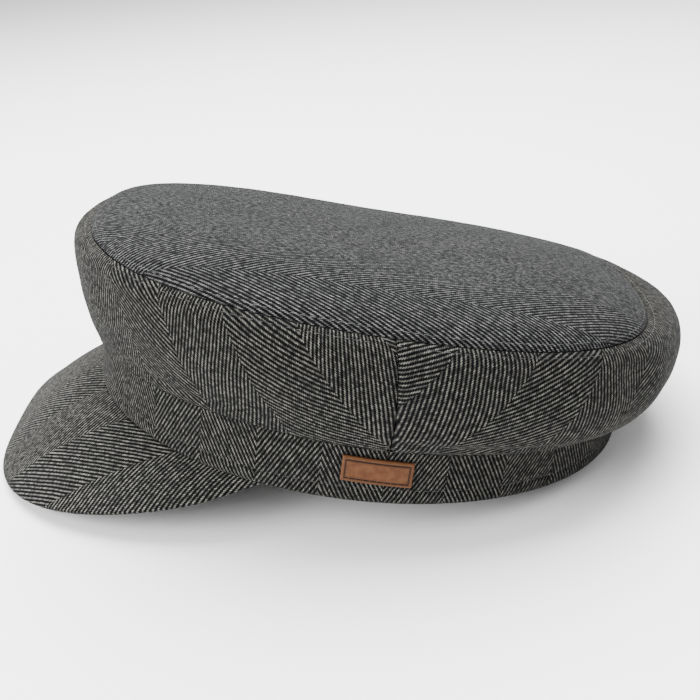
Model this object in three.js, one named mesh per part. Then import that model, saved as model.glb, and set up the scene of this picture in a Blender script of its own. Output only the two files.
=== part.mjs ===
// A breton cap: a soft crown with a domed oval top and a two-piece side that hangs over an upright
// band, a cloth-covered peak that slopes down in front, and a small leather label on the band.
// Lengths are millimetres and angles degrees. +Z is up, -Y is the wearer's front and +X the wearer's left.
// The cap is drawn upright round the band's lower edge, then leant to lie on its peak and on the back
// of its band, with the origin under the middle of its box.

import * as THREE from 'three';

// Head band, measured outside
const bandLength = 206;
const bandWidth = 176;
const bandHeight = 32;
const bandWall = 2.6;
const bandEdge = 0.6;

// Crown top: a squarish oval that leans back and to the wearer's right, with its sides sunk a little
const topLength = 206;
const topWidth = 185;
const topSquareness = 2.66;
const topForward = 3.2;
const topHeight = 55.5;
const topLeanBack = 3.1;
const topLeanRight = 6.3;
const topSaddle = 2.6;
const topDome = 4.5;
const domeFlatness = 3.5;

// Cloth and the gap that sewn pieces keep between them
const clothWall = 2;
const seamGap = 0.3;

// Crown side: how far its fullest place stands out from the band, and how far behind the middle of the
// band its two seams lie
const sideFullness = 17;
const sideSeamBack = 4;

// Peak: the angle on each side of the front that it is sewn on to, how far it reaches and drops in
// front, its board with a rounded edge, its soft swell, and how far its ends stand out beside the band
const peakSewnAngle = 69;
const peakReach = 40;
const peakDrop = 42.5;
const peakBoard = 3;
const peakEdgeRound = 1;
const peakSwell = 2;
const peakCorner = 2.5;
const peakSquareness = 2.25;
const peakSideDroop = 0.9;

// Label on the band
const labelLength = 23.4;
const labelHeight = 9.3;
const labelLeather = 1.2;
const labelCentre = 13;
const labelBack = 1.4;
const labelTilt = 3;
const labelCornerCut = 0.7;

// How far the cloth at the back of the band is pressed flat where it rests
const restPress = 0.8;

// How quickly the top's dents fade out towards its seam
const dentFade = 4;

// Fineness of the faceted walls, and the step for finding a surface's slope
const facetsRound = 72;
const facetsPeak = 40;
const facetsLabel = 10;
const peakRows = 8;
const sideRows = 11;
const slopeStep = 0.002;

// Places of the crown top's rings, as shares of the way from its middle to its seam
const topRings = [0.16, 0.32, 0.48, 0.62, 0.75, 0.86, 0.94, 1];

// The crown side's section at eight directions, turned from the wearer's left towards the back.
// shoulder, belly and skirt are shares of sideFullness, and hang is a share of bandHeight.
const sideSections = [
  { turn: 0, shoulder: 0.45, belly: 0.52, skirt: 0.4, hang: 0.7 },
  { turn: 45, shoulder: 0.74, belly: 0.9, skirt: 0.76, hang: 0.56 },
  { turn: 90, shoulder: 0.8, belly: 1, skirt: 0.86, hang: 0.2 },
  { turn: 135, shoulder: 0.94, belly: 1, skirt: 0.74, hang: 0.3 },
  { turn: 180, shoulder: 0.6, belly: 0.74, skirt: 0.56, hang: 0.4 },
  { turn: 225, shoulder: 0.76, belly: 0.68, skirt: 0.44, hang: 0.55 },
  { turn: 270, shoulder: 0.52, belly: 0.52, skirt: 0.4, hang: 0.6 },
  { turn: 315, shoulder: 0.8, belly: 0.64, skirt: 0.34, hang: 0.73 },
];

// Heights of those places on the side, as shares of the way from its hanging edge up to the seam
const sidePlaces = { shoulder: 0.86, belly: 0.5, skirt: 0.2 };

// Soft dents in the crown top: reach is a share of the top's half size, width of its half width
const topDents = [
  { turn: 282, reach: 0.5, width: 0.3, depth: 0.35 },
  { turn: 20, reach: 0.55, width: 0.32, depth: 0.3 },
  { turn: 75, reach: 0.45, width: 0.26, depth: -0.2 },
  { turn: 200, reach: 0.5, width: 0.4, depth: 0.3 },
];

const radians = THREE.MathUtils.degToRad;
const point = (x, y, z) => new THREE.Vector3(x, y, z);

// One value of the section table at any turn, as a smooth closed curve through its rows
function sectionValue(column, turn) {
  const rows = sideSections.length;
  const place = ((turn / 360) * rows + rows) % rows;
  const first = Math.floor(place);
  const value = (offset) => sideSections[(first + offset + rows) % rows][column];
  const t = place - first;
  const [a, b, c, d] = [value(-1), value(0), value(1), value(2)];
  return b + 0.5 * t * (c - a + t * (2 * a - 5 * b + 4 * c - d + t * (3 * (b - c) + d - a)));
}

// A point of the band's outer wall, moved out by a distance square to the wall
function bandPoint(turn, outset, height) {
  const angle = radians(turn);
  const out = point(bandLength * Math.cos(angle), bandWidth * Math.sin(angle), 0).normalize();
  const wall = point((bandWidth / 2) * Math.cos(angle), (bandLength / 2) * Math.sin(angle), height);
  return wall.addScaledVector(out, outset);
}

function bandOutward(turn) {
  return bandPoint(turn, 1, 0).sub(bandPoint(turn, 0, 0));
}

// How much further out than a circle a squarish oval lies at an angle
function ovalStretch(angle, squareness) {
  const [across, along] = [Math.abs(Math.cos(angle)), Math.abs(Math.sin(angle))];
  return (across ** squareness + along ** squareness) ** (-1 / squareness);
}

// The crown top's outer surface: reach runs from 0 at its middle to 1 at the seam
function topPoint(turn, reach) {
  const angle = radians(turn);
  const [cos, sin] = [Math.cos(angle), Math.sin(angle)];
  const fuller = ovalStretch(angle, topSquareness);
  const across = (topWidth / 2) * reach * fuller * cos;
  const along = (topLength / 2) * reach * fuller * sin;
  const saddle = -topSaddle * Math.cos(2 * angle) * reach ** 2;
  const dome = topDome * (1 - reach ** domeFlatness);
  const dents = topDents.reduce((sum, dent) => {
    const dentAngle = radians(dent.turn);
    const dx = reach * cos - dent.reach * Math.cos(dentAngle);
    const dy = reach * sin - dent.reach * Math.sin(dentAngle);
    return sum - dent.depth * topDome * Math.exp(-(dx * dx + dy * dy) / dent.width ** 2);
  }, 0);
  const lift = saddle + dome + dents * (1 - reach ** dentFade);
  const lean = new THREE.Euler(radians(-topLeanBack), radians(-topLeanRight), 0, 'YXZ');
  return point(across, along, lift).applyEuler(lean).add(point(0, -topForward, topHeight));
}

// The outline of the side's section at one turn, from the seam down to the hanging edge, as pairs of
// outset from the band (x) and height (y)
function sideProfile(turn) {
  const seam = topPoint(turn, 1);
  const seamOutset = seam.clone().sub(bandPoint(turn, 0, 0)).dot(bandOutward(turn));
  const edge = sectionValue('hang', turn) * bandHeight;
  const rise = seam.z - edge;
  const places = Object.entries(sidePlaces).map(([name, share]) => {
    return point(sectionValue(name, turn) * sideFullness, edge + share * rise, 0);
  });
  const start = point(seamOutset + seamGap / 2, seam.z - seamGap / 2, 0);
  const end = point(seamGap + clothWall, edge, 0);
  const curve = new THREE.CatmullRomCurve3([start, ...places, end], false, 'centripetal');
  return curve.getSpacedPoints(sideRows);
}

// The closed ring of the side's wall at one turn: down its outside and back up its inside
function sideSection(turn) {
  const outside = sideProfile(turn);
  const last = outside.length - 1;
  const inside = outside.map((place, i) => {
    const along = outside[Math.min(i + 1, last)].clone().sub(outside[Math.max(i - 1, 0)]).normalize();
    return place.clone().add(point(along.y, -along.x, 0).multiplyScalar(clothWall));
  });
  inside[0] = outside[0].clone().add(point(-clothWall, -clothWall, 0));
  inside[last] = point(seamGap, outside[last].y, 0);
  const seam = topPoint(turn, 1);
  const straight = bandPoint(turn, outside[0].x - seamGap / 2, seam.z);
  const drift = seam.sub(straight).setZ(0);
  const place = (flat, i) => {
    return bandPoint(turn, flat.x, flat.y).addScaledVector(drift, (1 - i / last) ** 2);
  };
  return [...outside.map(place), ...inside.map(place).reverse()];
}

// Joins rings of points into one closed solid. The rings' run is joined end to start, closed by a
// strip across each end ring, or closed by a fan to a pole at each end.
function solidFromRings(rings, ends, poles = []) {
  const count = rings[0].length;
  const vertices = [...rings.flat(), ...poles];
  const index = [];
  const quad = (a, b, c, d) => index.push(a, b, c, a, c, d);
  const steps = ends === 'joined' ? rings.length : rings.length - 1;
  for (let i = 0; i < steps; i += 1) {
    const low = i * count;
    const high = ((i + 1) % rings.length) * count;
    for (let j = 0; j < count; j += 1) {
      const k = (j + 1) % count;
      quad(low + j, high + j, high + k, low + k);
    }
  }
  const lastRing = (rings.length - 1) * count;
  if (ends === 'strips') {
    for (let j = 0; j < count / 2 - 1; j += 1) {
      quad(j, j + 1, count - 2 - j, count - 1 - j);
      quad(lastRing + j, lastRing + count - 1 - j, lastRing + count - 2 - j, lastRing + j + 1);
    }
  }
  if (ends === 'poles') {
    const firstPole = rings.length * count;
    for (let j = 0; j < count; j += 1) {
      const k = (j + 1) % count;
      index.push(firstPole, j, k);
      index.push(firstPole + 1, lastRing + k, lastRing + j);
    }
  }
  return facedOut(vertices, index);
}

// A geometry from corners and triangles, turned so that its faces point out
function facedOut(vertices, index) {
  let volume = 0;
  for (let i = 0; i < index.length; i += 3) {
    const [a, b, c] = [vertices[index[i]], vertices[index[i + 1]], vertices[index[i + 2]]];
    volume += a.dot(b.clone().cross(c));
  }
  const turned = volume > 0 ? index : index.slice().reverse();
  const numbers = vertices.flatMap((vertex) => vertex.toArray());
  const geometry = new THREE.BufferGeometry();
  geometry.setAttribute('position', new THREE.Float32BufferAttribute(numbers, 3));
  geometry.setIndex(turned);
  geometry.computeVertexNormals();
  return geometry;
}

// Evenly spaced values from one number to another, both included
function spaced(from, to, steps) {
  return Array.from({ length: steps + 1 }, (_, i) => from + ((to - from) * i) / steps);
}

const wholeTurn = spaced(0, 360, facetsRound).slice(0, -1);

// Crown top: its outside rings, the mitred edge at the seam, and its inside rings
function makeCrownTop() {
  const ring = (reach, raise, inset) => wholeTurn.map((turn) => {
    return topPoint(turn, reach).add(point(0, 0, raise)).addScaledVector(bandOutward(turn), -inset);
  });
  const clear = seamGap / 2;
  const within = topRings.slice(0, -1);
  const outside = [...within.map((reach) => ring(reach, 0, 0)), ring(1, clear, clear)];
  const inner = ring(1, clear - clothWall, clear + clothWall);
  const inside = [...within.map((reach) => ring(reach, -clothWall, 0)), inner];
  const middle = topPoint(0, 0);
  const poles = [middle, middle.clone().add(point(0, 0, -clothWall))];
  return solidFromRings([...outside, ...inside.reverse()], 'poles', poles);
}

// One half of the crown's side, between the two side seams
function makeCrownSide(from, to) {
  const halfGap = THREE.MathUtils.radToDeg(seamGap / bandWidth);
  const [start, end] = [from + halfGap, to - halfGap];
  const stations = [...wholeTurn, ...wholeTurn.map((turn) => turn + 360)];
  const between = stations.filter((turn) => turn > start && turn < end);
  return solidFromRings([start, ...between, end].map(sideSection), 'strips');
}

// The peak's sewn edge under the band: across runs from -1 at the wearer's right to 1 at the left
function peakSewn(across) {
  return bandPoint(-90 + across * peakSewnAngle, -bandWall / 2, -seamGap);
}

// The peak's free edge, a squarish oval that ends beside the sewn corners
function peakRim(across) {
  const corner = peakSewn(1);
  const depth = bandLength / 2 + peakReach + corner.y;
  const swing = (across * Math.PI) / 2;
  const [cos, sin] = [Math.max(0, Math.cos(swing)), Math.sin(swing)];
  const fuller = ovalStretch(swing, peakSquareness);
  const forward = cos * fuller;
  const x = (corner.x + peakCorner) * sin * fuller;
  return point(x, corner.y - depth * forward, corner.z - peakDrop * forward ** peakSideDroop);
}

// The peak's upper surface: down runs from 0 at the sewn edge to 1 at the free edge
function peakPoint(across, down) {
  const sewn = peakSewn(across);
  const rim = peakRim(across);
  const place = sewn.clone().lerp(rim, down);
  const swell = peakSwell * Math.sin(Math.PI * down) * Math.cos((across * Math.PI) / 2);
  return place.add(point(0, -swell, swell));
}

// The upward normal of the peak's board
function peakNormal(across, down) {
  const a = THREE.MathUtils.clamp(across, slopeStep - 1, 1 - slopeStep);
  const d = THREE.MathUtils.clamp(down, slopeStep, 1 - slopeStep);
  const sideways = peakPoint(a + slopeStep, d).sub(peakPoint(a - slopeStep, d));
  const downwards = peakPoint(a, d + slopeStep).sub(peakPoint(a, d - slopeStep));
  const normal = sideways.cross(downwards).normalize();
  return normal.z < 0 ? normal.negate() : normal;
}

// The closed ring of the peak's board at one place across: out over its top and back under it
function peakSection(across) {
  const shares = spaced(0, 1, peakRows);
  const below = (down, depth) => {
    return peakPoint(across, down).addScaledVector(peakNormal(across, down), -depth);
  };
  const upper = shares.map((down) => peakPoint(across, down));
  const lower = shares.map((down) => below(down, peakBoard));
  const outward = peakPoint(across, 1).sub(peakPoint(across, 1 - slopeStep)).normalize();
  const edge = below(1, peakBoard / 2).addScaledVector(outward, peakEdgeRound);
  return [below(0, peakBoard / 2), ...upper, edge, ...lower.reverse()];
}

function makePeak() {
  return solidFromRings(spaced(-1, 1, facetsPeak).map(peakSection), 'strips');
}

// The cap leans until its peak and the pressed back of its band lie on one plane
const peakGeometry = makePeak();
const restBack = point(0, bandLength / 2, restPress);
const restLean = leanOnto(peakGeometry);

function leanOnto(geometry) {
  const corners = geometry.getAttribute('position');
  let lean = 0;
  for (let i = 0; i < corners.count; i += 1) {
    const drop = restBack.z - corners.getZ(i);
    lean = Math.max(lean, Math.atan2(drop, restBack.y - corners.getY(i)));
  }
  return lean;
}

// Height, in the upright cap, of the surface it lies on
function restHeight(y) {
  return restBack.z - (restBack.y - y) * Math.tan(restLean);
}

// The band's wall at one turn, pressed flat where it rests
function bandSection(turn) {
  const top = bandHeight;
  const ring = [
    bandPoint(turn, -bandEdge, 0),
    bandPoint(turn, 0, bandEdge),
    bandPoint(turn, 0, top - bandEdge),
    bandPoint(turn, -bandEdge, top),
    bandPoint(turn, bandEdge - bandWall, top),
    bandPoint(turn, -bandWall, top - bandEdge),
    bandPoint(turn, -bandWall, bandEdge),
    bandPoint(turn, bandEdge - bandWall, 0),
  ];
  ring.forEach((corner) => corner.setZ(Math.max(corner.z, restHeight(corner.y))));
  return ring;
}

// The leather label bends round the band with its corners cut
function labelSection(share) {
  const fromEnd = labelLength * Math.min(share, 1 - share);
  const cut = Math.max(0, labelCornerCut - fromEnd);
  const along = (share - 0.5) * labelLength;
  const turn = THREE.MathUtils.radToDeg((labelBack + along) / (bandLength / 2));
  const middle = labelCentre - along * Math.tan(radians(labelTilt));
  const half = labelHeight / 2 - cut;
  return [
    bandPoint(turn, seamGap, middle - half),
    bandPoint(turn, seamGap + labelLeather, middle - half),
    bandPoint(turn, seamGap + labelLeather, middle + half),
    bandPoint(turn, seamGap, middle + half),
  ];
}

function makeLabel() {
  const cutShare = labelCornerCut / labelLength;
  const shares = [0, ...spaced(cutShare, 1 - cutShare, facetsLabel), 1];
  return solidFromRings(shares.map(labelSection), 'strips');
}

function finish(name, color, roughness) {
  return new THREE.MeshStandardMaterial({ name, color, roughness, metalness: 0 });
}

const wool = (name) => finish(name, 0x5a5b58, 0.95);
const leather = finish('tan_leather', 0xa56e4b, 0.6);

function named(name, geometry, material) {
  const mesh = new THREE.Mesh(geometry, material);
  mesh.name = name;
  return mesh;
}

// The upright cap, leant to its resting position
const seamTurn = THREE.MathUtils.radToDeg(Math.asin(sideSeamBack / (bandLength / 2)));
const cap = new THREE.Group();
cap.add(
  named('crown_top', makeCrownTop(), wool('crown_wool')),
  named('crown_side_back', makeCrownSide(seamTurn, 180 - seamTurn), wool('crown_wool')),
  named('crown_side_front', makeCrownSide(180 - seamTurn, 360 + seamTurn), wool('crown_wool')),
  named('band', solidFromRings(wholeTurn.map(bandSection), 'joined'), wool('band_wool')),
  named('peak', peakGeometry, wool('peak_wool')),
  named('side_label', makeLabel(), leather),
);
cap.rotation.x = -restLean;

const part = new THREE.Group();
part.add(cap);
part.updateMatrixWorld(true);
const box = new THREE.Box3().setFromObject(part, true);
const middle = box.getCenter(new THREE.Vector3());
cap.position.set(-middle.x, -middle.y, -box.min.z);

export default part;
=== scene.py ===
"""Looks of a breton cap: herringbone cloth panels, their stitching and a leather label.

Each cloth panel is a flat bmesh grid carried on to the cap's form, with its flat-cut place as UV, so
that the weave runs as it does in the cut cloth. The form is worked out in millimetres in the upright
cap, round the band's lower edge, and then stood in the frame.
"""

import logging
import math
from dataclasses import dataclass, field
from enum import Enum
from typing import Callable, Sequence

import bmesh
import bpy
import numpy as np
from mathutils import Euler, Matrix, Vector, noise


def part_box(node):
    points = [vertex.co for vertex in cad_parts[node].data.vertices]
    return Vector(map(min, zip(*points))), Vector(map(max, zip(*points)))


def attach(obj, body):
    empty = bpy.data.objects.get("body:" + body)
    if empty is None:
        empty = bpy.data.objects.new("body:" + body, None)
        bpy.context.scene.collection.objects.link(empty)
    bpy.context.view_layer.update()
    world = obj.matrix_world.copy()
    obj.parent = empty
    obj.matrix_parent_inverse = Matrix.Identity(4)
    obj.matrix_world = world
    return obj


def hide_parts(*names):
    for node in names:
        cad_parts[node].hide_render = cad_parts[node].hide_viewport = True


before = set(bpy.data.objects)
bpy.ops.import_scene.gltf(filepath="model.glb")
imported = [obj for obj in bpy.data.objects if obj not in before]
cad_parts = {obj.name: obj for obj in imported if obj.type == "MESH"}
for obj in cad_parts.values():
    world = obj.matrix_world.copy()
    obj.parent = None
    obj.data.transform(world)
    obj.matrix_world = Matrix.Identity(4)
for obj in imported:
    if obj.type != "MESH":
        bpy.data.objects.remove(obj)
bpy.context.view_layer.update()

log = logging.getLogger("cap")
MILLIMETRE = 0.001
BODY = "root"
WEAVE_MAP = "weave"

Colour = tuple[float, float, float]
Flat = tuple[float, float]


class Slot(Enum):
    """The record's material slots."""

    CROWN = "crown_wool"
    BAND = "band_wool"
    PEAK = "peak_wool"
    LABEL = "label_leather"


class Lean(Enum):
    """Which way the ribs of a herringbone's first column lean as they rise."""

    RIGHT = 1.0
    LEFT = -1.0


def bell(value: float, width: float) -> float:
    """A smooth bump of height 1 at zero.

    Args:
        value: Distance from the bump's middle.
        width: Distance at which the bump has sunk to about a third.

    Returns:
        The bump's height there.
    """
    return math.exp(-((value / width) ** 2))


def fade(value: float, start: float, end: float) -> float:
    """A smooth step.

    Args:
        value: Where the step is read.
        start: Where it begins to leave 0.
        end: Where it reaches 1.

    Returns:
        A share from 0 to 1.
    """
    share = min(1.0, max(0.0, (value - start) / (end - start)))
    return share * share * (3 - 2 * share)


def oval_stretch(angle: float, squareness: float) -> float:
    """How much further out than a circle a squarish oval lies.

    Args:
        angle: Angle round the oval, in radians.
        squareness: Power of the oval, 2 for an ellipse.

    Returns:
        The factor on a circle's radius.
    """
    across, along = abs(math.cos(angle)), abs(math.sin(angle))
    return (across**squareness + along**squareness) ** (-1 / squareness)


def waves(place: Vector, length: float, seed: float) -> float:
    """Soft random waves through space.

    Args:
        place: Point, in millimetres.
        length: Length of a wave, in millimetres.
        seed: Shifts the pattern.

    Returns:
        A height from about -1 to 1.
    """
    return noise.noise(place / length + Vector((seed, seed, seed)))


@dataclass(frozen=True)
class SideRow:
    """One direction of the crown side: outsets as shares of its fullness, its edge of the band's height."""

    shoulder: float
    belly: float
    skirt: float
    hang: float


SIDE_ROWS = (
    SideRow(0.45, 0.52, 0.40, 0.70),
    SideRow(0.74, 0.90, 0.68, 0.56),
    SideRow(0.80, 0.86, 0.48, 0.33),
    SideRow(0.94, 0.92, 0.54, 0.36),
    SideRow(0.60, 0.74, 0.56, 0.40),
    SideRow(0.70, 0.60, 0.40, 0.55),
    SideRow(0.50, 0.46, 0.36, 0.60),
    SideRow(0.80, 0.64, 0.34, 0.73),
)


@dataclass(frozen=True)
class TopDent:
    """A soft dent of the crown top, its depth a share of the dome's height."""

    turn: float
    reach: float
    width: float
    depth: float


TOP_DENTS = (
    TopDent(282, 0.5, 0.3, 0.17),
    TopDent(20, 0.55, 0.32, 0.14),
    TopDent(75, 0.45, 0.26, -0.09),
    TopDent(200, 0.5, 0.4, 0.1),
)


@dataclass(frozen=True)
class CapForm:
    """The cap's form, upright round the band's lower edge, in millimetres and degrees.

    A turn runs from the wearer's left towards the back. The front is -Y and the wearer's left +X.
    """

    band_length: float = 206.0
    band_width: float = 176.0
    band_height: float = 32.0
    band_wall: float = 2.6
    top_length: float = 206.0
    top_width: float = 185.0
    top_squareness: float = 2.66
    top_forward: float = 3.2
    top_height: float = 55.5
    top_lean_back: float = 3.1
    top_lean_right: float = 6.3
    top_saddle: float = 2.6
    top_dome: float = 9.3
    dome_flatness: float = 5.4
    dome_near: float = 0.5
    rim_raise: float = 2.2
    rim_raise_turn: float = 104.0
    rim_raise_width: float = 26.0
    dent_fade: float = 4.0
    cloth_wall: float = 2.0
    seam_gap: float = 0.3
    side_fullness: float = 17.0
    side_seam_back: float = 4.0
    shoulder_place: float = 0.86
    belly_place: float = 0.5
    skirt_place: float = 0.2
    rest_press: float = 0.8
    rest_lean: float = 10.547

    def band_outward(self, turn: float) -> Vector:
        """The level direction square to the band's wall at a turn."""
        angle = math.radians(turn)
        out = Vector((self.band_length * math.cos(angle), self.band_width * math.sin(angle), 0))
        return out.normalized()

    def band_point(self, turn: float, outset: float, height: float) -> Vector:
        """A point at a distance out from the band's outer wall.

        Args:
            turn: Direction round the cap.
            outset: Distance square to the wall.
            height: Height over the band's lower edge.

        Returns:
            The point in the upright cap.
        """
        angle = math.radians(turn)
        across = self.band_width / 2 * math.cos(angle)
        along = self.band_length / 2 * math.sin(angle)
        return Vector((across, along, height)) + self.band_outward(turn) * outset

    def rest_height(self, along: float) -> float:
        """Height, at a place along the cap, of the surface that the cap lies on."""
        slope = math.tan(math.radians(self.rest_lean))
        return self.rest_press - (self.band_length / 2 - along) * slope

    def top_flat(self, turn: float, reach: float) -> Flat:
        """A place of the crown top in its flat cut.

        Args:
            turn: Direction round the cap.
            reach: 0 at the top's middle and 1 at its seam.

        Returns:
            The distances across and along the cut, from its middle.
        """
        angle = math.radians(turn)
        out = reach * oval_stretch(angle, self.top_squareness)
        return (
            self.top_width / 2 * out * math.cos(angle),
            self.top_length / 2 * out * math.sin(angle),
        )

    def top_lift(self, turn: float, reach: float) -> float:
        """Height of the crown top over its plane, with its saddle, dome and dents."""
        angle = math.radians(turn)
        saddle = -self.top_saddle * math.cos(2 * angle) * reach**2
        fuller_near = 1 + self.dome_near * math.cos(angle) * reach
        dome = self.top_dome * (1 - reach**self.dome_flatness) * fuller_near
        away = (turn - self.rim_raise_turn + 180) % 360 - 180
        raised = self.rim_raise * bell(away, self.rim_raise_width) * reach**2
        here = Vector((math.cos(angle), math.sin(angle))) * reach
        dents = 0.0
        for dent in TOP_DENTS:
            dent_angle = math.radians(dent.turn)
            middle = Vector((math.cos(dent_angle), math.sin(dent_angle))) * dent.reach
            dents -= dent.depth * self.top_dome * bell((here - middle).length, dent.width)
        return saddle + dome + raised + dents * (1 - reach**self.dent_fade)

    def top_point(self, turn: float, reach: float, raised: float = 0.0) -> Vector:
        """A point of the crown top's outer surface.

        Args:
            turn: Direction round the cap.
            reach: 0 at the top's middle and 1 at its seam.
            raised: Distance above the smooth surface.

        Returns:
            The point in the upright cap.
        """
        across, along = self.top_flat(turn, reach)
        flat = Vector((across, along, self.top_lift(turn, reach) + raised))
        lean_back = Matrix.Rotation(math.radians(-self.top_lean_back), 3, "X")
        lean_right = Matrix.Rotation(math.radians(-self.top_lean_right), 3, "Y")
        return lean_right @ (lean_back @ flat) + Vector((0, -self.top_forward, self.top_height))

    def side_value(self, column: str, turn: float) -> float:
        """One column of the crown side's table at any turn, as a smooth closed curve.

        Args:
            column: Name of the column.
            turn: Direction round the cap.

        Returns:
            The value there.
        """
        place = turn / 360 * len(SIDE_ROWS) % len(SIDE_ROWS)
        first = math.floor(place)
        t = place - first
        values = [getattr(SIDE_ROWS[(first + step) % len(SIDE_ROWS)], column) for step in (-1, 0, 1, 2)]
        a, b, c, d = values
        return b + 0.5 * t * (c - a + t * (2 * a - 5 * b + 4 * c - d + t * (3 * (b - c) + d - a)))

    def side_curve(self, turn: float) -> np.ndarray:
        """The crown side's smooth outline at a turn, from its top seam to its hanging edge.

        Args:
            turn: Direction round the cap.

        Returns:
            Rows of outset and height.
        """
        seam = self.top_point(turn, 1)
        out = (seam - self.band_point(turn, 0, 0)).dot(self.band_outward(turn))
        edge = self.side_value("hang", turn) * self.band_height
        rise = seam.z - edge
        places = (
            ("shoulder", self.shoulder_place),
            ("belly", self.belly_place),
            ("skirt", self.skirt_place),
        )
        knots = [(out + self.seam_gap / 2, seam.z - self.seam_gap / 2)]
        for column, share in places:
            knots.append((self.side_value(column, turn) * self.side_fullness, edge + share * rise))
        knots.append((self.seam_gap + self.cloth_wall, edge))
        return smooth_curve(np.array(knots))

    @property
    def side_seam_turn(self) -> float:
        """The turn of the side seam on the wearer's left."""
        return math.degrees(math.asin(self.side_seam_back / (self.band_length / 2)))

    def stand(self) -> Matrix:
        """The matrix that stands the upright cap in the frame, where the band's highest corner fits."""
        lean = Matrix.Rotation(math.radians(-self.rest_lean), 4, "X")
        corners = []
        for turn in range(0, 360, 5):
            corners.append(lean @ self.band_point(turn, 0, self.band_height))
            corners.append(lean @ self.band_point(turn, 0, 0))
        high = Vector(max(corner[axis] for corner in corners) for axis in range(3))
        low_x = min(corner.x for corner in corners)
        low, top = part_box("band")
        shift = top / MILLIMETRE - high
        shift.x = (low.x + top.x) / 2 / MILLIMETRE - (high.x + low_x) / 2
        return Matrix.Scale(MILLIMETRE, 4) @ Matrix.Translation(shift) @ lean


def smooth_curve(knots: np.ndarray, steps: int = 24) -> np.ndarray:
    """A centripetal Catmull-Rom curve through flat points.

    Args:
        knots: Rows of the points that it passes through.
        steps: Points made between two knots.

    Returns:
        Rows of the curve's points.
    """
    ends = [2 * knots[0] - knots[1], *knots, 2 * knots[-1] - knots[-2]]
    made = []
    for before, start, end, after in zip(ends, ends[1:], ends[2:], ends[3:]):
        gaps = [max(np.linalg.norm(b - a) ** 0.5, 1e-6) for a, b in ((before, start), (start, end), (end, after))]
        leave = (start - before) / gaps[0] - (end - before) / (gaps[0] + gaps[1]) + (end - start) / gaps[1]
        arrive = (end - start) / gaps[1] - (after - start) / (gaps[1] + gaps[2]) + (after - end) / gaps[2]
        leave, arrive = leave * gaps[1], arrive * gaps[1]
        for t in np.linspace(0, 1, steps, endpoint=False):
            square = t * t * (3 * (end - start) - 2 * leave - arrive)
            cube = t**3 * (2 * (start - end) + leave + arrive)
            made.append(start + t * leave + square + cube)
    made.append(knots[-1])
    return np.array(made)


def lengths_along(points: np.ndarray) -> np.ndarray:
    """Distance from the start of a row of points to each of them."""
    return np.r_[0, np.cumsum(np.linalg.norm(np.diff(points, axis=0), axis=1))]


def spaced(near: Sequence[float], total: float, step: float, both: bool) -> list[float]:
    """Stations along a length, close together at its start and perhaps its end.

    Args:
        near: Distances from an end of the close stations, the first of them 0.
        total: The whole length.
        step: Rough distance between the other stations.
        both: Whether the end has close stations too.

    Returns:
        The stations, from 0 to total.
    """
    last = total - near[-1] if both else total
    count = max(2, round((last - near[-1]) / step))
    between = list(np.linspace(near[-1], last, count + 1))[1:-1]
    tail = [total - value for value in reversed(near)] if both else [total]
    return [*near, *between, *tail]


def third_corner(first: Vector, second: Vector, from_first: float, from_second: float) -> Vector:
    """The corner to the left of a flat line, looking back along it, at two distances from its ends.

    Args:
        first: Start of the line.
        second: End of the line.
        from_first: Distance from its start.
        from_second: Distance from its end.

    Returns:
        The corner.
    """
    line = second - first
    length = max(line.length, 1e-6)
    along = (from_first**2 - from_second**2 + length**2) / (2 * length)
    off = math.sqrt(max(0.0, from_first**2 - along**2))
    ahead = line / length
    return first + ahead * along + Vector((-ahead.y, ahead.x)) * off


def carried_grid(points: Sequence[Sequence[Vector]], flats: Sequence[Sequence[Flat]]) -> bmesh.types.BMesh:
    """A flat grid carried to its places on the cap.

    Args:
        points: For each column, the place of each of its rows.
        flats: For each column, the flat-cut place of each of its rows, in millimetres.

    Returns:
        A mesh whose UV map holds the flat-cut places, with touching edges welded.
    """
    columns, rows = len(points), len(points[0])
    bm = bmesh.new()
    bmesh.ops.create_grid(bm, x_segments=columns - 1, y_segments=rows - 1, size=0.5)
    weave = bm.loops.layers.uv.new(WEAVE_MAP)
    cells = {
        vertex: (round((vertex.co.x + 0.5) * (columns - 1)), round((vertex.co.y + 0.5) * (rows - 1)))
        for vertex in bm.verts
    }
    for face in bm.faces:
        face.smooth = True
        for loop in face.loops:
            column, row = cells[loop.vert]
            loop[weave].uv = flats[column][row]
    for vertex, (column, row) in cells.items():
        vertex.co = points[column][row]
    bmesh.ops.remove_doubles(bm, verts=bm.verts, dist=1e-4)
    return bm


def finish_mesh(bm: bmesh.types.BMesh, name: str, stand: Matrix) -> bpy.types.Object:
    """Closes a mesh, stands it in the frame and makes an object of it.

    Args:
        bm: The mesh, in millimetres of the upright cap.
        name: Name of the object.
        stand: The matrix that stands the cap in the frame.

    Returns:
        The object, at the origin, linked to the scene.
    """
    rims = [edge for edge in bm.edges if edge.is_boundary]
    if rims:
        caps = bmesh.ops.holes_fill(bm, edges=rims, sides=0)["faces"]
        bmesh.ops.triangulate(bm, faces=caps)
    bmesh.ops.transform(bm, matrix=stand, verts=bm.verts)
    bmesh.ops.recalc_face_normals(bm, faces=bm.faces)
    mesh = bpy.data.meshes.new(name)
    bm.to_mesh(mesh)
    bm.free()
    piece = bpy.data.objects.new(name, mesh)
    bpy.context.scene.collection.objects.link(piece)
    return piece


def dress(piece: bpy.types.Object, material: bpy.types.Material, slot: Slot, *nodes: str) -> None:
    """Gives a piece its material and its body, and hides the CAD nodes that it stands for.

    Args:
        piece: The piece.
        material: Its material.
        slot: The record's slot; not used.
        nodes: CAD nodes that it replaces.
    """
    piece.data.materials.append(material)
    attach(piece, BODY)
    if nodes:
        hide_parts(*nodes)
    triangles = sum(len(face.vertices) - 2 for face in piece.data.polygons)
    log.info("%s: %d triangles", piece.name, triangles)


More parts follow.
